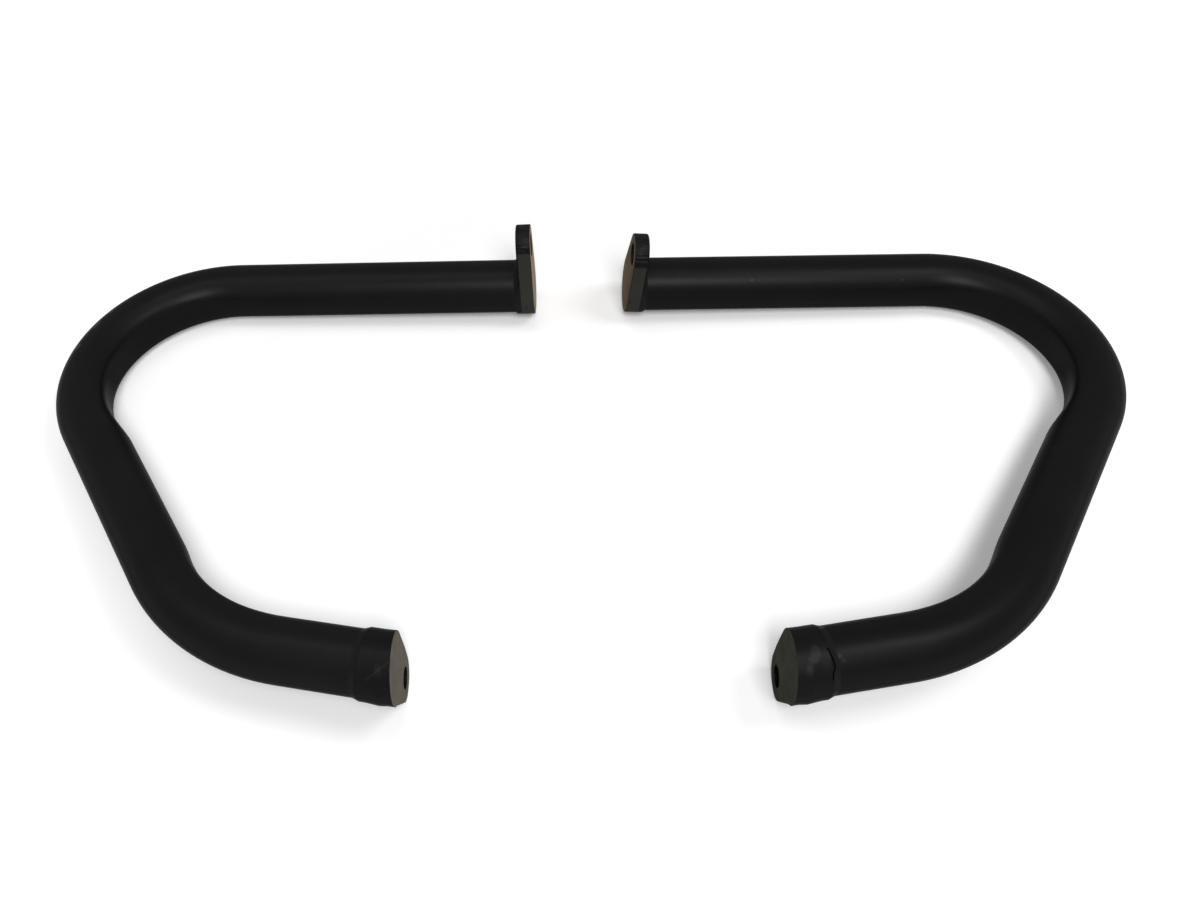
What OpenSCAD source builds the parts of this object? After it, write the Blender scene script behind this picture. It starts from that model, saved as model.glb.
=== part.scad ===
// A pair of motorcycle crash bars, lying on a flat surface. Millimetres, +Z up.
// Each bar is one steel tube, bent twice the same way into an open C. A flat drop-shaped
// lug is welded on its top end, and a thick flared lug on its lower end. Both lugs have
// their mounting faces turned to the middle of the pair, square to the top run.
// X runs across the pair, and Y runs away from the lower lugs to the top runs.
// The left bar is the right bar mirrored, apart from how its top lug was welded on.

/* [Tube] */
// Outside diameter, a one and a quarter inch tube
tube_d = 31.8; // [26:0.2:37]
// Wall thickness
wall = 2.6; // [1.8:0.1:3.2]

/* [Bends] */
// From the top mounting face to the upper bend
top_run = 180; // [150:1:215]
// Radius of the upper bend, at the tube's axis
upper_bend_r = 75; // [64:1:90]
// Turn of the upper bend
upper_turn = 123.5; // [112:0.5:126]
// Straight leg between the bends
leg_run = 116; // [97:1:138]
// Radius of the lower bend, at the tube's axis
lower_bend_r = 102; // [86:1:121]
// Turn of the lower bend
lower_turn = 47; // [42:0.5:50]
// From the lower bend to the lower mounting face
low_run = 55; // [46:1:65]
// Depth to which the inner wall is pressed flat in each bend
press_depth = 3; // [1.5:0.1:3.6]

/* [Lugs] */
// Width that a lug has past the tube, all round
lug_margin = 1.1; // [0.8:0.1:1.5]
// Thickness of the top lug
top_lug_t = 8.5; // [6:0.5:9.5]
// From the tube's wall to the middle of the top bolt hole
top_rise = 14.1; // [12:0.1:18]
// Diameter of the top lug's narrow end
top_end_d = 24; // [21:0.5:28]
// Thread size of the top bolt
top_bolt = 12; // [8, 10, 12]
// Lean of the right top lug, from square to the bar towards its lower end
right_lean = 15.5; // [0:0.5:20]
// Lean of the left top lug
left_lean = -2.5; // [-5:0.5:20]
// Cant of the right top lug, with its narrow end tipped away from the middle of the pair
right_cant = 3.5; // [0:0.5:4.5]
// Cant of the left top lug
left_cant = 1.5; // [0:0.5:4.5]
// How much shorter the top run of the right bar is than that of the left bar
right_short = 1.4; // [0:0.1:3]
// Length of the lower lug along the tube
low_lug_l = 14.5; // [13:0.5:17]
// Thickness of the lower lug under its bolt head
low_seat_t = 8; // [6.5:0.5:9.5]
// From the tube's wall to the middle of the lower bolt hole
low_drop = 10.5; // [8.8:0.1:13]
// Diameter of the lower lug's narrow end
low_end_d = 23; // [19:0.5:25]
// Thread size of the lower bolt
low_bolt = 10; // [8, 10]
// Lean of the lower lug, from straight down towards the top run
low_lean = 21; // [10:0.5:24]

/* [Layout] */
// Gap between the two top mounting faces
pair_gap = 54; // [30:1:80]
// Turn of each bar, which moves its outer end back
splay = 1.1; // [0:0.1:3]

/* [Hidden] */
$fn = 96;

tube_r = tube_d / 2;
boss_r = tube_r + lug_margin;
bolt_clearance = 1;
top_hole_r = (top_bolt + bolt_clearance) / 2;
low_hole_r = (low_bolt + bolt_clearance) / 2;
top_end_r = top_end_d / 2;
low_end_r = low_end_d / 2;
top_reach = tube_r + top_rise;
low_reach = tube_r + low_drop;
// The bolt's seat stays this clear of the collar
seat_clearance = 0.9;
low_seat_r = low_drop - lug_margin - seat_clearance;
// The lobe keeps its full outline this far back from the mounting face
low_rim_t = 7;
weld_l = 3;
top_weld_h = 2.4;
// The tube is this much thinner all round in its bends, and a straight run goes on this
// far into a bend
bend_thinning = 0.05;
lap = 0.6;
// The turn of each bend where its die starts to bite, and the turn where it is deepest
upper_bite = 3;
upper_deepest = upper_turn * 0.77;
lower_bite = -4.5;
lower_deepest = lower_turn / 2;
// How far a lug's straight sides lie inside the line that touches both of its round ends
side_inset = 0.05;
// How far the lobe of the lower lug starts under the skin of the collar
root_inset = 0.3;
// How far a cutting shape runs past what it cuts
past = 1;

black = [0.14, 0.14, 0.14];
black_lug = [0.19, 0.19, 0.18];

// Where the tube's axis runs, in the bar's own frame, from the top mounting face out
turned = upper_turn + lower_turn;
upper_end = [top_run + upper_bend_r * sin(upper_turn), -upper_bend_r * (1 - cos(upper_turn))];
leg_end = upper_end + leg_run * [cos(upper_turn), -sin(upper_turn)];
lower_end = leg_end + lower_bend_r * [sin(turned) - sin(upper_turn), cos(turned) - cos(upper_turn)];
foot = lower_end + low_run * [cos(turned), -sin(turned)];

// Each bar lies on two points, with its weight over the line between them: its upper
// bend, where it has turned by touch_turn, and the tip of its lower lug. touch is the
// first on the tube's axis, and tip is the centre of the lug's narrow end.
touch_turn = 17;
touch = [top_run + upper_bend_r * sin(touch_turn), -upper_bend_r * (1 - cos(touch_turn))];
tip = [foot[0] + low_rim_t, foot[1] + low_reach * sin(low_lean), -low_reach * cos(low_lean)];
lever = tan(touch_turn) * (touch[0] - tip[0]) + touch[1] - tip[1];
tilt_x = asin((tube_r - low_end_r) / norm([lever, tip[2]])) - atan(-tip[2] / lever);
tilt_y = -atan(sin(tilt_x) * tan(touch_turn));
lift = tube_r + sin(tilt_y) * touch[0] - cos(tilt_y) * sin(tilt_x) * touch[1];
// Middle of the pair's depth, so that the origin is under its centre
back = top_run * sin(splay) + tube_r;
front = (foot[1] * cos(tilt_x) - boss_r) * cos(splay) + foot[0] * sin(splay);
mid_y = (back + front) / 2;

// Carries its children round a bend of the tube, which turns to -Y
module past_bend(r, turn) {
    translate([0, -r, 0])
        rotate(-turn)
            translate([0, r, 0]) children();
}

// Puts its children where a stretch of the tube starts, with the tube's axis on +X
module at_leg() {
    translate([top_run, 0, 0]) past_bend(upper_bend_r, upper_turn) children();
}
module at_low_run() {
    at_leg() translate([leg_run, 0, 0]) past_bend(lower_bend_r, lower_turn) children();
}
module at_low_weld() {
    at_low_run() translate([low_run - low_lug_l, 0, 0]) children();
}

// A straight rod along +X, and a rod bent round to -Y
module rod(length, r) {
    rotate([0, 90, 0]) cylinder(h = length, r = r);
}
module bent_rod(bend_r, turn, r) {
    translate([0, -bend_r, 0])
        rotate(90 - turn)
            rotate_extrude(angle = turn) translate([bend_r, 0]) circle(r = r);
}

// The round die that presses the inner wall flat. It bites from one turn of the bend on,
// is deepest at another, and leaves a shoulder where it lets go.
module die(bend_r, bite_from, deepest, grow) {
    shift = press_depth / (1 - cos(deepest - bite_from));
    translate([0, -bend_r, 0])
        rotate(90 - deepest)
            translate([shift, 0, -tube_d])
                cylinder(h = 2 * tube_d, r = bend_r - tube_r + press_depth - shift + grow);
}

// The bent rod from the top mounting face to the lower lug, pressed in both bends. The
// ends run over by the given length, and the dies are grown by the given wall.
module pressed_rod(r, over, grow) {
    difference() {
        union() {
            translate([-over, 0, 0]) rod(top_run + over + lap, r);
            translate([top_run, 0, 0]) bent_rod(upper_bend_r, upper_turn, r - bend_thinning);
            at_leg() translate([-lap, 0, 0]) rod(leg_run + 2 * lap, r);
            at_leg() translate([leg_run, 0, 0]) bent_rod(lower_bend_r, lower_turn, r - bend_thinning);
            at_low_run() translate([-lap, 0, 0]) rod(lap + low_run - low_lug_l + over, r);
        }
        translate([top_run, 0, 0]) die(upper_bend_r, upper_bite, upper_deepest, grow);
        at_leg() translate([leg_run, 0, 0]) die(lower_bend_r, lower_bite, lower_deepest, grow);
    }
}

// Stands its children as a top lug stands, turned about the point where the tube's axis
// meets its back
module as_top_lug(cant, short) {
    translate([short + top_lug_t, 0, 0])
        rotate([0, cant, 0])
            translate([-top_lug_t, 0, 0]) children();
}

// All that lies in front of a top lug's back
module end_cut(cant, short) {
    size = 2 * tube_d;
    as_top_lug(cant, short) translate([top_lug_t - size, -size / 2, -size / 2]) cube(size);
}

module tube(cant, short) {
    color(black) difference() {
        pressed_rod(tube_r, 0, 0);
        pressed_rod(tube_r - wall, past, wall);
        end_cut(cant, short);
    }
}

// A drop-shaped plate: a round root, a smaller round end up its own Y, and the two
// straight sides between them
module drop(root_r, reach, end_r, thick) {
    side = acos((root_r - end_r) / reach);
    a = root_r - side_inset;
    b = end_r - side_inset;
    cylinder(h = thick, r = root_r);
    translate([0, reach, 0]) cylinder(h = thick, r = end_r);
    linear_extrude(thick)
        polygon([[a * sin(side), a * cos(side)],
                 [b * sin(side), reach + b * cos(side)],
                 [-b * sin(side), reach + b * cos(side)],
                 [-a * sin(side), a * cos(side)]]);
}

// Turns a plate's own Z to +X and its own Y up, then leans it to the front
module plate_at(place, lean) {
    translate([place[0], place[1], 0])
        rotate([90, 0, 90])
            rotate(lean) children();
}

module top_lug(lean, cant, short) {
    color(black_lug) as_top_lug(cant, short) plate_at([0, 0], lean) difference() {
        drop(boss_r, top_reach, top_end_r, top_lug_t);
        translate([0, top_reach, -past]) cylinder(h = top_lug_t + 2 * past, r = top_hole_r);
    }
}

// The fillet between the tube and the top lug, flush with the lug's edge. Its slope goes
// on under the lug's back, so that it closes on a canted lug too.
module top_weld(lean, cant, short) {
    toe = short + top_lug_t + weld_l;
    rise = toe * top_weld_h / weld_l;
    color(black) difference() {
        intersection() {
            plate_at([0, 0], 0)
                rotate_extrude() polygon([[tube_r, 0], [tube_r + rise, 0], [tube_r, toe]]);
            as_top_lug(cant, short) plate_at([0, 0], lean)
                drop(boss_r, top_reach, top_end_r, top_lug_t + weld_l + 2 * past);
        }
        end_cut(cant, short);
    }
}

// The lower lug is a round collar that goes on from the tube, and a lobe below it. The
// lobe's drop-shaped rim runs back to the collar in one slope, and the bolt has a flat seat.
module lower_lug() {
    lobe = 180 + low_lean;
    deep = 2 * low_lug_l;
    color(black_lug) difference() {
        union() {
            at_low_weld() rod(deep, boss_r);
            hull() {
                plate_at(foot, lobe) lobe_rim();
                at_low_weld() rod(root_inset, boss_r - root_inset, $fn = 36);
            }
        }
        translate([foot[0] - deep, foot[1] - 2 * low_reach, -2 * low_reach])
            cube([deep, 4 * low_reach, 4 * low_reach]);
        plate_at(foot, lobe) translate([0, low_reach, -past]) cylinder(h = deep, r = low_hole_r);
        plate_at(foot, lobe) translate([0, low_reach, low_seat_t]) cylinder(h = deep, r = low_seat_r);
    }
}
module lobe_rim() {
    cylinder(h = low_rim_t, r = boss_r - root_inset, $fn = 36);
    translate([0, low_reach, 0]) cylinder(h = low_rim_t, r = low_end_r, $fn = 36);
}

// The fillet between the tube and the lower lug's collar
module lower_weld() {
    color(black) at_low_weld() rotate([0, -90, 0])
        rotate_extrude() polygon([[tube_r, 0], [boss_r, 0], [tube_r, weld_l]]);
}

// Lays a bar down as it comes to rest, and puts it on its side of the pair
module right_side() {
    translate([pair_gap / 2, -mid_y, lift]) rotate(splay) rotate([tilt_x, tilt_y, 0]) children();
}
module left_side() {
    mirror([1, 0, 0]) right_side() children();
}

right_side() tube(right_cant, right_short);  // right_tube
right_side() top_lug(right_lean, right_cant, right_short);  // right_top_lug
right_side() top_weld(right_lean, right_cant, right_short);  // right_top_weld
right_side() lower_lug();  // right_lower_lug
right_side() lower_weld();  // right_lower_weld
left_side() tube(left_cant, 0);  // left_tube
left_side() top_lug(left_lean, left_cant, 0);  // left_top_lug
left_side() top_weld(left_lean, left_cant, 0);  // left_top_weld
left_side() lower_lug();  // left_lower_lug
left_side() lower_weld();  // left_lower_weld
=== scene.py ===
"""A pair of motorcycle crash bars, black powder coat on steel, lying on a white floor.
Metres, +Z up. Sizes below are written in millimetres times MM."""
import bpy
from math import atan2, cos, pi, radians, sin
from mathutils import Matrix, Vector


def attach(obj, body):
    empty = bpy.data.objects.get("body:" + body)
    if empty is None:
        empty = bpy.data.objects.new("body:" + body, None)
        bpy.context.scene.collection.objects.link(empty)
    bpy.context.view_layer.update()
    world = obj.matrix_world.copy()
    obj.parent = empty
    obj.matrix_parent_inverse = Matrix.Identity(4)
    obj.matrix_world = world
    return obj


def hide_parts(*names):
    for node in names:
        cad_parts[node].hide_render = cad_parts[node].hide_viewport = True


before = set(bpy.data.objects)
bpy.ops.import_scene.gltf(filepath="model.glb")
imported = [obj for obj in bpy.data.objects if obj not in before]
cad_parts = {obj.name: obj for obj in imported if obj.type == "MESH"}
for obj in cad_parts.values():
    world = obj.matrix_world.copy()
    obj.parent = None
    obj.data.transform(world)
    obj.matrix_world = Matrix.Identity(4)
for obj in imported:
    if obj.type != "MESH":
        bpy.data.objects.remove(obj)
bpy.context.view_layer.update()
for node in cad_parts.values():
    node.select_set(False)

# The camera looks from the front and above, with the whole pair in the picture and the free
# ends of both bars in its middle.
shot = bpy.data.cameras.new("shot")
shot.sensor_width = 36
shot.lens = 33.367
shot.shift_x = 80 / 1200
camera = bpy.data.objects.new("camera", shot)
bpy.context.scene.collection.objects.link(camera)
camera.matrix_world = (
    Matrix.Translation((-0.014406, -0.363592, 0.495286))
    @ Matrix.Rotation(radians(3.110), 4, "Z")
    @ Matrix.Rotation(radians(90 - 52.209), 4, "X")
    @ Matrix.Rotation(radians(-3.095), 4, "Z")
)
bpy.context.scene.camera = camera

# The coat of the whole pair: satin black polyester powder, baked on. It has a soft sheen, a
# faint orange peel from the melt, and a fine grain.


def hex_colour(text):
    """An sRGB hex colour as linear RGBA."""
    channels = [int(text[i:i + 2], 16) / 255 for i in (1, 3, 5)]
    linear = [c / 12.92 if c <= 0.04045 else ((c + 0.055) / 1.055) ** 2.4 for c in channels]
    return (*linear, 1)


def add_node(tree, kind, links=None, **settings):
    """Adds a node to tree. A setting named in_X sets the input X. Links joins inputs to sockets."""
    node = tree.nodes.new(kind)
    for name, value in settings.items():
        if not name.startswith("in_"):
            setattr(node, name, value)
    for name, value in settings.items():
        if name.startswith("in_"):
            key = name[3:]
            socket = node.inputs[int(key)] if key.isdigit() else node.inputs[key.replace("_", " ")]
            socket.default_value = value
    for key, socket in (links or {}).items():
        tree.links.new(socket, node.inputs[key])
    return node


def new_material(name):
    material = bpy.data.materials.new(name)
    material.use_nodes = True
    material.node_tree.nodes.clear()
    return material, material.node_tree


MM = 0.001


def powder_coat(name, dark, light, spots=(), cut_depth=0):
    """The black coat. Its spots are (x, y, z, radius, colour). It covers cutter's lines if any."""
    material, tree = new_material(name)
    place = add_node(tree, "ShaderNodeTexCoord")
    # Handling and dust change the black a little over 30 to 60 mm.
    cloud = add_node(tree, "ShaderNodeTexNoise", {"Vector": place.outputs["Object"]},
                     in_Scale=1 / (38 * MM), in_Detail=4, in_Roughness=0.6)
    tone = add_node(tree, "ShaderNodeValToRGB", {"Fac": cloud.outputs["Fac"]})
    tone.color_ramp.elements[0].position = 0.35
    tone.color_ramp.elements[0].color = hex_colour(dark)
    tone.color_ramp.elements[1].position = 0.7
    tone.color_ramp.elements[1].color = hex_colour(light)
    colour = tone.outputs["Color"]
    # The grain is under 0.2 mm in the real coat, and is drawn at 0.7 mm so that it shows.
    grain = add_node(tree, "ShaderNodeTexNoise", {"Vector": place.outputs["Object"]},
                     in_Scale=1 / (0.7 * MM), in_Detail=2, in_Roughness=0.5)
    peel = add_node(tree, "ShaderNodeTexNoise", {"Vector": place.outputs["Object"]},
                    in_Scale=1 / (4.5 * MM), in_Detail=2, in_Roughness=0.45)
    for x, y, z, size, spot_colour in spots:
        away = add_node(tree, "ShaderNodeVectorMath", {0: place.outputs["Object"]},
                        operation="DISTANCE", in_1=(x, y, z))
        inside = add_node(tree, "ShaderNodeMapRange", {"Value": away.outputs["Value"]})
        inside.inputs["From Min"].default_value = size
        inside.inputs["From Max"].default_value = size * 0.6
        mixed = add_node(tree, "ShaderNodeMix", {"Factor": inside.outputs["Result"], 6: colour},
                         data_type="RGBA")
        mixed.inputs[7].default_value = hex_colour(spot_colour)
        colour = mixed.outputs[2]
    rough = add_node(tree, "ShaderNodeMapRange", {"Value": grain.outputs["Fac"]})
    rough.inputs["To Min"].default_value = 0.36
    rough.inputs["To Max"].default_value = 0.41
    bump = add_node(tree, "ShaderNodeBump", {"Height": grain.outputs["Fac"]}, in_Strength=1)
    bump.inputs["Distance"].default_value = 0.008 * MM
    waves = add_node(tree, "ShaderNodeBump",
                     {"Height": peel.outputs["Fac"], "Normal": bump.outputs["Normal"]},
                     in_Strength=1)
    waves.inputs["Distance"].default_value = 0.04 * MM
    normal = waves.outputs["Normal"]
    if cut_depth:
        # Lines about 1 mm apart, left by the cutter across the plate's edge.
        stretch = add_node(tree, "ShaderNodeMapping", {"Vector": place.outputs["Object"]})
        stretch.inputs["Scale"].default_value = (0.04, 1, 1)
        lines = add_node(tree, "ShaderNodeTexNoise", {"Vector": stretch.outputs["Vector"]},
                         in_Scale=1 / (1.6 * MM), in_Detail=2, in_Roughness=0.6)
        steps = add_node(tree, "ShaderNodeBump",
                         {"Height": lines.outputs["Fac"], "Normal": normal}, in_Strength=1)
        steps.inputs["Distance"].default_value = cut_depth
        normal = steps.outputs["Normal"]
    coat = add_node(tree, "ShaderNodeBsdfPrincipled",
                    {"Base Color": colour, "Roughness": rough.outputs["Result"],
                     "Normal": normal})
    coat.inputs["IOR"].default_value = 1.5
    # Seen along the surface, the grain hides most of the sheen.
    slant = add_node(tree, "ShaderNodeLayerWeight", in_Blend=0.5)
    sheen = add_node(tree, "ShaderNodeMapRange", {"Value": slant.outputs["Facing"]})
    sheen.inputs["From Min"].default_value = 0.1
    sheen.inputs["From Max"].default_value = 0.6
    sheen.inputs["To Min"].default_value = 0.078
    sheen.inputs["To Max"].default_value = 0.008
    tree.links.new(sheen.outputs["Result"], coat.inputs["Specular IOR Level"])
    add_node(tree, "ShaderNodeOutputMaterial", {"Surface": coat.outputs["BSDF"]})
    return material


# Each tube is one length of steel tube, 31.8 mm across, bent cold round two dies. The
# inside of each bend is pressed flat, with soft creases beside the flat.
tube_r = 15.9 * MM
# The skin is this much thinner than the straight tube, as the bends are.
skin_r = tube_r - 0.05 * MM
top_lug_t = 8.5 * MM
top_run = 180 * MM
upper_bend_r = 75 * MM
upper_turn = radians(123.5)
leg_run = 116 * MM
lower_bend_r = 102 * MM
lower_turn = radians(47)
low_run = 55 * MM
low_lug_l = 14.5 * MM
press_depth = 3 * MM

turned = upper_turn + lower_turn
leg_way = Vector((cos(upper_turn), -sin(upper_turn), 0))
low_way = Vector((cos(turned), -sin(turned), 0))
upper_end = Vector((top_run + upper_bend_r * sin(upper_turn),
                    -upper_bend_r * (1 - cos(upper_turn)), 0))
leg_end = upper_end + leg_run * leg_way
upper_centre = Vector((top_run, -upper_bend_r, 0))
lower_centre = leg_end + lower_bend_r * Vector((-sin(upper_turn), -cos(upper_turn), 0))
lower_end = lower_centre + lower_bend_r * Vector((sin(turned), cos(turned), 0))
foot = lower_end + low_run * low_way

# Where a bar lies: the right bar's own frame starts at its top mounting face, with the
# tube along +X and the bends towards -Y. The left bar is its mirror image.
bar_place = {
    "right": Matrix.Translation((27 * MM, 131.202 * MM, 19.8833 * MM))
    @ Matrix.Rotation(radians(1.1), 4, "Z")
    @ Matrix.Rotation(radians(1.19369), 4, "Y")
    @ Matrix.Rotation(radians(-3.90798), 4, "X"),
}
bar_place["left"] = Matrix.Diagonal((-1, 1, 1, 1)) @ bar_place["right"]


def start_fresh():
    if bpy.context.object and bpy.context.object.mode != "OBJECT":
        bpy.ops.object.mode_set(mode="OBJECT")
    bpy.ops.object.select_all(action="DESELECT")


def pick(piece):
    """Makes a piece the only one selected, and the active one."""
    start_fresh()
    bpy.context.view_layer.objects.active = piece
    piece.select_set(True)


def apply_place(piece):
    """Puts an object's place into its mesh."""
    piece.data.transform(piece.matrix_world)
    piece.matrix_world = Matrix.Identity(4)


def lay_down(piece, side):
    """Moves a piece from the bar's own frame to where that side's bar lies."""
    apply_place(piece)
    piece.data.transform(bar_place[side])
    if side == "left":
        piece.data.flip_normals()
    piece.data.update()


def copy_of(piece, name):
    twin = piece.copy()
    twin.data = piece.data.copy()
    twin.name = name
    twin.data.name = name
    bpy.context.scene.collection.objects.link(twin)
    return twin


def smooth(piece, angle):
    pick(piece)
    bpy.ops.object.shade_smooth_by_angle(angle=radians(angle))


def paint(piece, *materials):
    piece.data.materials.clear()
    for material in materials:
        piece.data.materials.append(material)


def belongs(piece, node):
    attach(piece, "root")
    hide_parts(node)


start_fresh()
bpy.ops.mesh.primitive_circle_add(vertices=120, radius=skin_r, location=(6 * MM, 0, 0),
                                  rotation=(0, pi / 2, 0), enter_editmode=True)
bpy.ops.mesh.select_all(action="SELECT")


def extrude_along(way, length, step):
    """Extrudes the selected ring along way, with a ring at every step."""
    count = max(1, round(length / step))
    move = tuple(way * (length / count))
    for _ in range(count):
        bpy.ops.mesh.extrude_region_move(TRANSFORM_OT_translate={"value": move})


extrude_along(Vector((1, 0, 0)), 124 * MM, 6 * MM)
extrude_along(Vector((1, 0, 0)), top_run - 130 * MM, 2 * MM)
bpy.ops.mesh.spin(steps=96, angle=upper_turn, center=tuple(upper_centre), axis=(0, 0, 1))
extrude_along(leg_way, leg_run, 2 * MM)
bpy.ops.mesh.spin(steps=56, angle=lower_turn, center=tuple(lower_centre), axis=(0, 0, 1))
extrude_along(low_way, low_run - low_lug_l + 1 * MM, 1.5 * MM)
bpy.ops.mesh.select_all(action="SELECT")
bpy.ops.mesh.remove_doubles(threshold=0.001 * MM)
bpy.ops.mesh.fill_holes(sides=0)
bpy.ops.mesh.normals_make_consistent(inside=False)
bpy.ops.object.mode_set(mode="OBJECT")
tube = bpy.context.object
apply_place(tube)


def press(bend_centre, bend_r, start_turn, bite, deepest):
    """Presses the inner wall of one bend against its round die. The flat's creases are soft."""
    shift = press_depth / (1 - cos(deepest - bite))
    heading = start_turn + deepest
    out = Vector((sin(heading), cos(heading), 0))
    die_centre = bend_centre + shift * out
    die_r = bend_r - tube_r + press_depth - shift
    soft = 2.6 * MM
    for vertex in tube.data.vertices:
        away = Vector((vertex.co.x - die_centre.x, vertex.co.y - die_centre.y, 0))
        gap = away.length - die_r
        if gap < soft:
            reach = max(gap, -soft)
            moved = (soft + reach) ** 2 / (4 * soft) if gap > -soft else 0
            vertex.co += away.normalized() * (moved - gap)


press(upper_centre, upper_bend_r, 0, radians(3), upper_turn * 0.77)
press(lower_centre, lower_bend_r, upper_turn, radians(-4.5), lower_turn / 2)


def on_low_run(side, along, angle, radius):
    """A place mm along the low run, degrees round it from the front and mm from its axis."""
    front = Vector((-low_way.y, low_way.x, 0))
    out = front * cos(radians(angle)) + Vector((0, 0, sin(radians(angle))))
    return tuple(bar_place[side] @ (lower_end + along * MM * low_way + radius * MM * out))


# The right tube has a white fleck, a dark pit, a faint fleck and a pit at its lower edge on
# its top run, and two painted highlights beside its lower weld. The left one has a nick and a
# pale painted highlight along the outside of its upper bend.
tube_coat = {
    "right": powder_coat("satin_black_powder_coat_right", "#060606", "#0a0a0a", (
        (0.1025, 0.1223, 0.0302, 0.5 * MM, "#44443f"),
        (0.1198, 0.1197, 0.0266, 0.8 * MM, "#020202"),
        (0.1914, 0.1231, 0.0275, 0.7 * MM, "#2c2c2a"),
        (0.0871, 0.1207, 0.0071, 0.8 * MM, "#020202"),
        # Two painted highlights beside the lower weld.
        (*on_low_run("right", 36.4, 66, 15.9), 1.2 * MM, "#20201f"),
        (*on_low_run("right", 35, 58, 15.9), 1 * MM, "#1a1a19"))),
    # The left tube's coat is a lit copy of the right one's black, painted a little lighter.
    "left": powder_coat("satin_black_powder_coat_left_painted_lighter", "#090909", "#0e0e0e", (
        (-0.2917, 0.0466, 0.0335, 1.2 * MM, "#020202"),
        # A pale painted highlight along the outside of the upper bend.
        (-0.2905, 0.0737, 0.0323, 3.0 * MM, "#2e2e2b"),
        (-0.2852, 0.0919, 0.0315, 4.5 * MM, "#2c2c29"),
        (-0.2789, 0.1027, 0.0313, 2.6 * MM, "#2b2b28"))),
}
for side in ("right", "left"):
    skin = copy_of(tube, side + "_pressed_tube")
    lay_down(skin, side)
    smooth(skin, 40)
    paint(skin, tube_coat[side])
    belongs(skin, side + "_tube")
bpy.data.objects.remove(tube)

# A drop-shaped plate of 8.5 mm steel, cut out, drilled and welded on by hand, so that each
# stands a little differently. It is coated all over but for its mounting face, which was
# masked and shows bare steel.
boss_r = 17 * MM
top_reach = 30 * MM
top_end_r = 12 * MM
top_hole_r = 6.5 * MM
lug_lean = {"right": radians(15.5), "left": radians(-2.5)}
lug_cant = {"right": radians(3.5), "left": radians(1.5)}
lug_back = {"right": top_lug_t + 1.4 * MM, "left": top_lug_t}

# Each lug has a small pit low on its front flank.
rim_coat = powder_coat("powder_coat_over_the_cut_rim", "#050505", "#0a0a0a", cut_depth=1 * MM)
# The flank's coat is a lit copy of the black, painted lighter where the flat flank faces the light.
flank_coat_painted_lighter = powder_coat("powder_coat_flank_painted_lighter", "#282825", "#2e2e2b", (
    (*(bar_place["right"] @ Vector((3 * MM, -16.9 * MM, 0.5 * MM))), 0.8 * MM, "#020202"),
    (*(bar_place["left"] @ Vector((4.6 * MM, -16.7 * MM, -3.2 * MM))), 0.8 * MM, "#020202")))


def bare_steel(name, dark, light):
    """Masked steel: a dull grey-brown face with fine lines from the cutter."""
    material, tree = new_material(name)
    place = add_node(tree, "ShaderNodeTexCoord")
    cloud = add_node(tree, "ShaderNodeTexNoise", {"Vector": place.outputs["Object"]},
                     in_Scale=1 / (9 * MM), in_Detail=4, in_Roughness=0.6)
    tone = add_node(tree, "ShaderNodeValToRGB", {"Fac": cloud.outputs["Fac"]})
    tone.color_ramp.elements[0].position = 0.3
    tone.color_ramp.elements[0].color = hex_colour(dark)
    tone.color_ramp.elements[1].position = 0.7
    tone.color_ramp.elements[1].color = hex_colour(light)
    # The cutter's lines are about 0.1 mm apart, drawn at 0.6 mm so that they show.
    stretch = add_node(tree, "ShaderNodeMapping", {"Vector": place.outputs["Object"]})
    stretch.inputs["Scale"].default_value = (1, 1, 0.06)
    lines = add_node(tree, "ShaderNodeTexNoise", {"Vector": stretch.outputs["Vector"]},
                     in_Scale=1 / (0.6 * MM), in_Detail=3, in_Roughness=0.6)
    bump = add_node(tree, "ShaderNodeBump", {"Height": lines.outputs["Fac"]}, in_Strength=1)
    bump.inputs["Distance"].default_value = 0.02 * MM
    rough = add_node(tree, "ShaderNodeMapRange", {"Value": lines.outputs["Fac"]})
    rough.inputs["To Min"].default_value = 0.42
    rough.inputs["To Max"].default_value = 0.62
    steel = add_node(tree, "ShaderNodeBsdfPrincipled",
                     {"Base Color": tone.outputs["Color"], "Roughness": rough.outputs["Result"],
                      "Normal": bump.outputs["Normal"]})
    steel.inputs["Metallic"].default_value = 1
    # The face is dull, so it stays dark at a slant too.
    steel.inputs["Specular Tint"].default_value = (0.2, 0.2, 0.2, 1)
    add_node(tree, "ShaderNodeOutputMaterial", {"Surface": steel.outputs["BSDF"]})
    return material


def boolean(piece, tool, operation):
    """Cuts, adds or keeps what the tool covers. A tool's own material stays on its cut."""
    pick(piece)
    step = piece.modifiers.new("shape", "BOOLEAN")
    step.operation = operation
    step.object = tool
    step.solver = "EXACT"
    if tool.data.materials:
        step.material_mode = "TRANSFER"
    bpy.ops.object.modifier_apply(modifier="shape")
    bpy.data.objects.remove(tool)


def drop_block(name, root_r, tip, tip_r, length):
    """A drop outline from x = 0 to length: a round root, a smaller round tip, straight sides."""
    start_fresh()
    bpy.ops.mesh.primitive_cylinder_add(vertices=128, radius=root_r, depth=length,
                                        location=(length / 2, 0, 0),
                                        rotation=(0, pi / 2, 0), enter_editmode=True)
    bpy.ops.mesh.primitive_cylinder_add(vertices=96, radius=tip_r, depth=length,
                                        location=(length / 2, tip.y, tip.z),
                                        rotation=(0, pi / 2, 0))
    bpy.ops.mesh.select_all(action="SELECT")
    bpy.ops.mesh.convex_hull()
    bpy.ops.mesh.dissolve_limited(angle_limit=radians(0.5))
    bpy.ops.object.mode_set(mode="OBJECT")
    block = bpy.context.object
    block.name = name
    apply_place(block)
    return block


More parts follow.
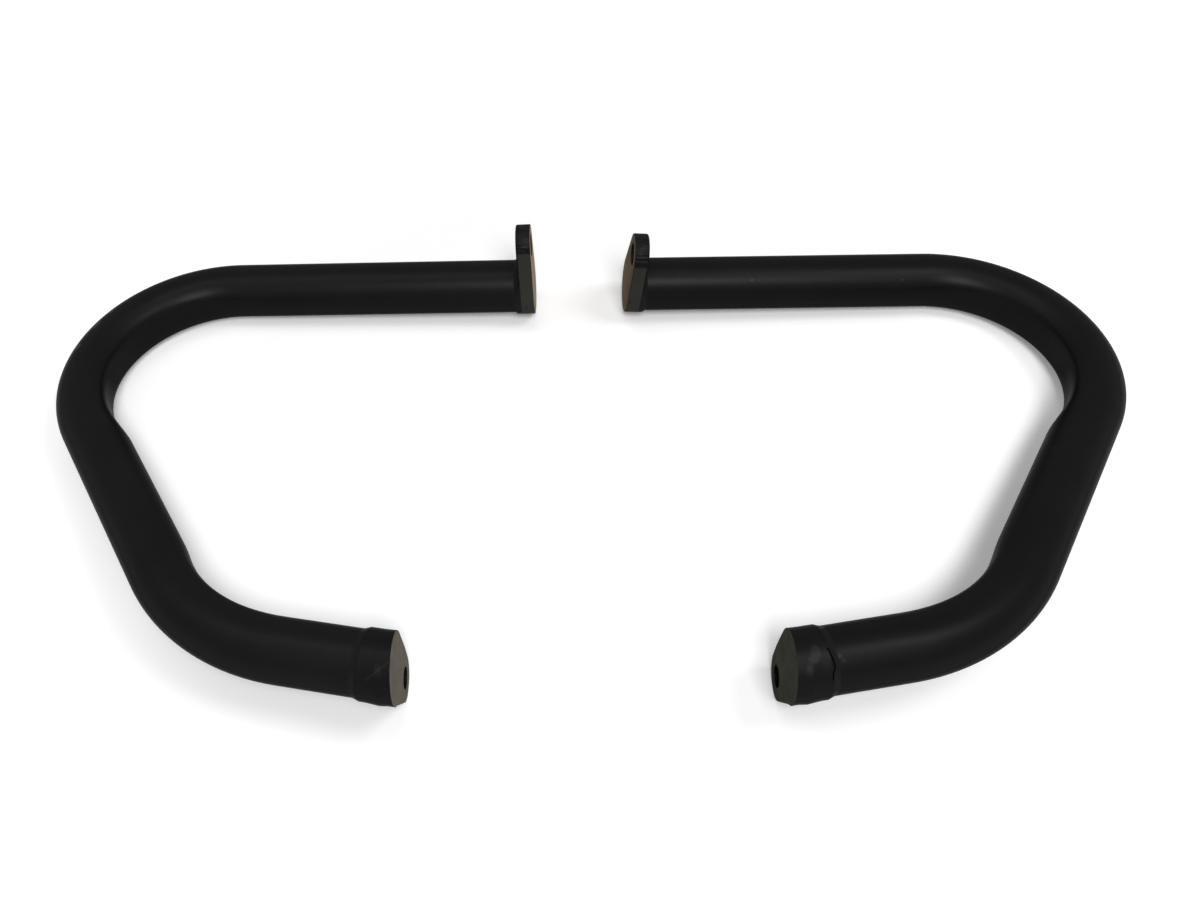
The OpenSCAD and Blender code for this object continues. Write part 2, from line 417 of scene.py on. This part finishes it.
def turned_solid(start, way, profile, vertices):
    """A closed round solid on the line from start along way, from (along, radius) points."""
    turn = Vector((0, 0, 1)).rotation_difference(way).to_euler()
    start_fresh()
    along, radius = profile[0]
    bpy.ops.mesh.primitive_circle_add(vertices=vertices, radius=radius,
                                      location=tuple(start + way * along),
                                      rotation=turn, enter_editmode=True)
    bpy.ops.mesh.select_all(action="SELECT")
    for (a0, r0), (a1, r1) in zip(profile, profile[1:]):
        bpy.ops.mesh.extrude_region_move(TRANSFORM_OT_translate={"value": tuple(way * (a1 - a0))})
        bpy.ops.transform.resize(value=(r1 / r0,) * 3)
    bpy.ops.mesh.select_all(action="SELECT")
    bpy.ops.mesh.fill_holes(sides=0)
    bpy.ops.mesh.select_all(action="SELECT")
    bpy.ops.mesh.normals_make_consistent(inside=False)
    bpy.ops.object.mode_set(mode="OBJECT")
    solid = bpy.context.object
    apply_place(solid)
    return solid


def bevel_rim(piece, at_x, width, segments):
    """Rounds the sharp edges that lie in the plane x = at_x."""
    pick(piece)
    bpy.ops.object.mode_set(mode="EDIT")
    bpy.ops.mesh.select_mode(type="EDGE")
    bpy.ops.mesh.select_all(action="DESELECT")
    bpy.ops.object.mode_set(mode="OBJECT")
    for edge in piece.data.edges:
        a, b = (piece.data.vertices[i].co for i in edge.vertices)
        edge.select = abs(a.x - at_x) < 1e-6 and abs(b.x - at_x) < 1e-6
    bpy.ops.object.mode_set(mode="EDIT")
    bpy.ops.mesh.bevel(offset=width, segments=segments, affect="EDGES")
    bpy.ops.object.mode_set(mode="OBJECT")


def lug_stand(side):
    """How a top lug stands: turned about the point where the tube meets its back."""
    return (Matrix.Translation((lug_back[side], 0, 0)) @ Matrix.Rotation(lug_cant[side], 4, "Y")
            @ Matrix.Translation((-top_lug_t, 0, 0)))


# The masked faces are one steel in lit and shaded copies: each face's colour is painted lighter or
# darker for the light on it, the left top face lightest and the right lower face darkest.
top_face_steel = {
    "right": bare_steel("masked_steel_right_top_painted_darker", "#685f51", "#74695b"),
    "left": bare_steel("masked_steel_left_top_painted_lighter", "#968a74", "#a69983"),
}
for side in ("right", "left"):
    tip = Vector((0, -sin(lug_lean[side]), cos(lug_lean[side]))) * top_reach
    plate = drop_block(side + "_drop_plate", boss_r, tip, top_end_r, top_lug_t)
    drill = turned_solid(Vector((-top_lug_t, tip.y, tip.z)), Vector((1, 0, 0)),
                         [(0, top_hole_r), (3 * top_lug_t, top_hole_r)], 72)
    boolean(plate, drill, "DIFFERENCE")
    bevel_rim(plate, 0, 0.3 * MM, 2)
    bevel_rim(plate, top_lug_t, 0.9 * MM, 4)
    paint(plate, rim_coat, top_face_steel[side], flank_coat_painted_lighter)
    for face in plate.data.polygons:
        # The flank, whose coat is painted lighter as lit, is the straight side, one large face, and
        # the rim below it.
        rim = abs(face.normal.x) < 0.01 and abs(face.normal.y) > 0.7
        straight = face.area > 60 * MM * MM
        painted_lit_flank = rim and -12 * MM < face.center.z and (straight or face.center.z < 6 * MM)
        face.material_index = 1 if face.normal.x < -0.99 else 2 if painted_lit_flank else 0
    plate.data.transform(lug_stand(side))
    lay_down(plate, side)
    smooth(plate, 30)
    belongs(plate, side + "_top_lug")

# A forged block with a round collar on the tube's line and a lobe that hangs below it.
# The mounting face is milled square to the top run, and the bolt's head has a flat seat.
low_seat_t = 8 * MM
low_reach = 26.4 * MM
low_end_r = 11.5 * MM
low_lean = radians(21)
low_rim_t = 7 * MM
low_hole_r = 5.5 * MM
low_seat_r = 8.5 * MM
root_inset = 0.3 * MM
deep = 2 * low_lug_l
weld_at = lower_end + (low_run - low_lug_l) * low_way
lobe_tip = foot + low_reach * Vector((0, sin(low_lean), -cos(low_lean)))

# The lobe's drop-shaped rim and the ring at the weld are spanned by one smooth slope.
start_fresh()
for centre, radius, length, turn in (
        (foot, boss_r - root_inset, 2 * low_rim_t, Vector((1, 0, 0))),
        (lobe_tip, low_end_r, 2 * low_rim_t, Vector((1, 0, 0))),
        (weld_at + root_inset / 2 * low_way, boss_r - root_inset, root_inset, low_way)):
    turned_to = Vector((0, 0, 1)).rotation_difference(turn).to_euler()
    bpy.ops.mesh.primitive_cylinder_add(vertices=128, radius=radius, depth=length,
                                        location=tuple(centre), rotation=turned_to)
    if bpy.context.object.mode != "EDIT":
        bpy.ops.object.mode_set(mode="EDIT")
bpy.ops.mesh.select_all(action="SELECT")
bpy.ops.mesh.convex_hull()
bpy.ops.object.mode_set(mode="OBJECT")
forging = bpy.context.object
forging.name = "forged_block"
apply_place(forging)
collar = turned_solid(weld_at, low_way, [(-0.3 * MM, boss_r), (deep, boss_r)], 144)
boolean(forging, collar, "UNION")

# A forging has no sharp edges: it is meshed anew and smoothed before it is milled.
pick(forging)
remesh = forging.modifiers.new("forge", "REMESH")
remesh.mode = "VOXEL"
remesh.voxel_size = 0.4 * MM
bpy.ops.object.modifier_apply(modifier="forge")
relax = forging.modifiers.new("relax", "SMOOTH")
relax.factor = 0.5
relax.iterations = 12
bpy.ops.object.modifier_apply(modifier="relax")
start_fresh()
bpy.ops.mesh.primitive_cube_add(size=6 * deep, location=(foot.x - 3 * deep, foot.y, 0))
boolean(forging, bpy.context.object, "DIFFERENCE")
seat = turned_solid(Vector((foot.x + low_seat_t, lobe_tip.y, lobe_tip.z)), Vector((1, 0, 0)),
                    [(0, low_seat_r), (deep, low_seat_r)], 96)
boolean(forging, seat, "DIFFERENCE")
drill = turned_solid(Vector((foot.x - deep, lobe_tip.y, lobe_tip.z)), Vector((1, 0, 0)),
                     [(0, low_hole_r), (3 * deep, low_hole_r)], 72)
boolean(forging, drill, "DIFFERENCE")
paint(forging, None, None)
for face in forging.data.polygons:
    milled = abs(face.center.x - foot.x) < 0.005 * MM and face.normal.x < -0.99
    face.material_index = 1 if milled else 0

# The right collar has a pale patch painted on as a highlight, and the left one a thin pale line
# painted on as the highlight along a crease.
forging_coat = {
    # A pale painted highlight patch on the right collar.
    "right": powder_coat("powder_coat_right_forging", "#070707", "#0c0c0c", (
        (0.0975, -0.1334, 0.0532, 2.2 * MM, "#1c1c1b"),
        (0.0982, -0.1354, 0.0529, 2.2 * MM, "#1c1c1b"),
        (0.0970, -0.1358, 0.0528, 2.4 * MM, "#1c1c1b"),
        (0.0966, -0.1376, 0.0524, 2.4 * MM, "#1c1c1b"),
        (0.0954, -0.1380, 0.0524, 1.8 * MM, "#1c1c1b"))),
    # A thin pale line painted on as the highlight along a crease.
    "left": powder_coat("powder_coat_left_forging", "#070707", "#0c0c0c", [
        (*on_low_run("left", 55 - 0.65 * i, 68 - 2.3 * i, 17), 0.8 * MM, "#151514")
        for i in range(14)]),
}
# Lit and shaded copies of the same masked steel, painted lighter on the left face and darker on the
# right.
low_face_steel = {
    "right": bare_steel("masked_steel_right_lower_painted_darker", "#474741", "#51514b"),
    "left": bare_steel("masked_steel_left_lower_painted_lighter", "#6f6963", "#7b756f"),
}

# The right lug's weld is cracked open at its toe, on top and in front.
# Its inside is painted near-black and matt, as painted shade in the groove.
crack_shade, tree = new_material("painted_shade_inside_the_crack")
inside = add_node(tree, "ShaderNodeBsdfDiffuse", in_Color=hex_colour("#030303"))
add_node(tree, "ShaderNodeOutputMaterial", {"Surface": inside.outputs["BSDF"]})


def crack_rod():
    """A thin crooked rod along the crack, to cut it with. Its points are as in on_low_run."""
    track = ((41.7, 80), (40.9, 74.5), (40.8, 69), (40.3, 65), (40.0, 58), (39.7, 51),
             (40.3, 46), (41.1, 41.5), (41.3, 31))
    to_bar = bar_place["right"].inverted()
    curve = bpy.data.curves.new("crack", "CURVE")
    curve.dimensions = "3D"
    curve.bevel_depth = 0.45 * MM
    curve.bevel_resolution = 2
    curve.use_fill_caps = True
    line = curve.splines.new("POLY")
    line.points.add(len(track) - 1)
    for point, (along, angle) in zip(line.points, track):
        point.co = (*(to_bar @ Vector(on_low_run("right", along, angle, 16.7))), 1)
    rod = bpy.data.objects.new("crack", curve)
    bpy.context.scene.collection.objects.link(rod)
    pick(rod)
    bpy.ops.object.convert(target="MESH")
    rod = bpy.context.object
    paint(rod, crack_shade)
    return rod


for side in ("right", "left"):
    lug = copy_of(forging, side + "_forged_lug")
    lug.data.materials[0] = forging_coat[side]
    lug.data.materials[1] = low_face_steel[side]
    if side == "right":
        boolean(lug, crack_rod(), "DIFFERENCE")
    lay_down(lug, side)
    smooth(lug, 35)
    belongs(lug, side + "_lower_lug")
bpy.data.objects.remove(forging)

# A bead runs round the tube at each lug and is coated with the rest: a fillet, with the
# faint ripple that the torch left.
weld_l = 3 * MM
top_weld_h = 2.4 * MM
bead_coat = powder_coat("powder_coat_over_the_bead", "#0e0e0e", "#131312")


def bead_ring(name, start, way, length, height, ripple):
    """A closed fillet ring whose foot is height high at start and runs out on the tube."""
    inner = tube_r - 1 * MM
    profile = [(0, inner)]
    count = 12
    for i in range(count + 1):
        t = i / count
        profile.append((length * t, skin_r + height * (1 - t) ** 1.15))
    profile.append((length, inner))
    ring = turned_solid(start, way, profile, 240)
    ring.name = name
    side_way = Vector((0, 0, 1)).cross(way)
    for vertex in ring.data.vertices:
        along = (vertex.co - start).dot(way)
        out = vertex.co - start - along * way
        if out.length > inner + 0.2 * MM:
            angle = atan2(out.z, out.dot(side_way))
            # The ripple has 34 uneven waves and runs out at both sides of the bead.
            bow = sin(pi * along / length)
            depth = 0.5 + 0.5 * sin(34 * angle + 2 * sin(3 * angle) + 500 * along)
            vertex.co -= out.normalized() * ripple * bow * depth
    return ring


# The top bead starts inside the lug, which stands at an angle, and is trimmed to its outline.
back = 2 * MM
slope = top_weld_h / weld_l
for side in ("right", "left"):
    bead = bead_ring(side + "_top_bead", Vector((lug_back[side] - back, 0, 0)), Vector((1, 0, 0)),
                     back + weld_l + 0.3 * MM, (back + weld_l) * slope, 0.1 * MM)
    tip = Vector((0, -sin(lug_lean[side]), cos(lug_lean[side]))) * top_reach
    trim = drop_block("trim", boss_r - 0.1 * MM, tip, top_end_r, top_lug_t + 8 * MM)
    trim.data.transform(lug_stand(side))
    boolean(bead, trim, "INTERSECT")
    paint(bead, bead_coat)
    lay_down(bead, side)
    smooth(bead, 40)
    belongs(bead, side + "_top_weld")
    bead = bead_ring(side + "_lower_bead", weld_at + low_way * 0.2 * MM, -low_way,
                     weld_l + 0.4 * MM, boss_r - skin_r, 0.08 * MM)
    paint(bead, bead_coat)
    if side == "right":
        boolean(bead, crack_rod(), "DIFFERENCE")
    lay_down(bead, side)
    smooth(bead, 60)
    belongs(bead, side + "_lower_weld")

# A wide white floor and soft lamps above it.
start_fresh()
bpy.ops.mesh.primitive_grid_add(x_subdivisions=8, y_subdivisions=8, size=8, location=(0, 0, 0))
floor = bpy.context.object
floor.name = "floor"
floor_paint, tree = new_material("matt_white_floor")


def backdrop_rays(tree):
    """One for the rays that see the background: the camera's, and those in gloss or glass."""
    path = add_node(tree, "ShaderNodeLightPath")
    level = path.outputs["Is Camera Ray"]
    for ray in ("Is Glossy Ray", "Is Transmission Ray"):
        level = add_node(tree, "ShaderNodeMath", {0: level, 1: path.outputs[ray]},
                         operation="MAXIMUM").outputs["Value"]
    return level


# The floor is lit evenly by the lamps near the pair and turns to pure white further out.
place = add_node(tree, "ShaderNodeTexCoord")
away = add_node(tree, "ShaderNodeVectorMath", {0: place.outputs["Object"]},
                operation="LENGTH")
fade = add_node(tree, "ShaderNodeMapRange", {"Value": away.outputs["Value"]},
                interpolation_type="SMOOTHSTEP")
fade.inputs["From Min"].default_value = 0.2
fade.inputs["From Max"].default_value = 0.7
fade.inputs["To Min"].default_value = 0.16
fade.inputs["To Max"].default_value = 1
glow_level = add_node(tree, "ShaderNodeMath",
                      {0: fade.outputs["Result"], 1: backdrop_rays(tree)}, operation="MULTIPLY")
matt = add_node(tree, "ShaderNodeBsdfDiffuse", in_Color=(0.9, 0.9, 0.9, 1))
glow = add_node(tree, "ShaderNodeEmission", {"Strength": glow_level.outputs["Value"]},
                in_Color=(1, 1, 1, 1))
both = add_node(tree, "ShaderNodeAddShader",
                {0: matt.outputs["BSDF"], 1: glow.outputs["Emission"]})
add_node(tree, "ShaderNodeOutputMaterial", {"Surface": both.outputs["Shader"]})
floor.data.materials.append(floor_paint)

# The world shows white as a background, and lights the pair only a little.
world = bpy.data.worlds.new("studio")
bpy.context.scene.world = world
world.use_nodes = True
world.node_tree.nodes.clear()
tree = world.node_tree
seen = add_node(tree, "ShaderNodeMath", {0: backdrop_rays(tree)},
                operation="MAXIMUM", in_1=0.08)
sky = add_node(tree, "ShaderNodeBackground", {"Strength": seen.outputs["Value"]},
               in_Color=(1, 1, 1, 1))
add_node(tree, "ShaderNodeOutputWorld", {"Surface": sky.outputs["Background"]})

# Where each lamp stands, in degrees round the pair from the front and above the floor, its
# size and its power. The main one stands near the camera, as the highlights show.
lamp_away = 1.8
for name, azimuth, height, size, power in (("main", 10, 56, 0.6, 22), ("right", 82, 60, 0.6, 8.5),
                                           ("left", -100, 60, 0.9, 3), ("back", -160, 78, 0.8, 4)):
    light = bpy.data.lights.new(name, "AREA")
    light.shape = "SQUARE"
    light.size = size
    light.energy = power
    lamp = bpy.data.objects.new(name, light)
    bpy.context.scene.collection.objects.link(lamp)
    flat = cos(radians(height))
    way = Vector((flat * sin(radians(azimuth)), -flat * cos(radians(azimuth)),
                  sin(radians(height))))
    lamp.location = lamp_away * way
    lamp.rotation_euler = (-way).to_track_quat("-Z", "Y").to_euler()

bpy.context.scene.view_settings.view_transform = "Standard"
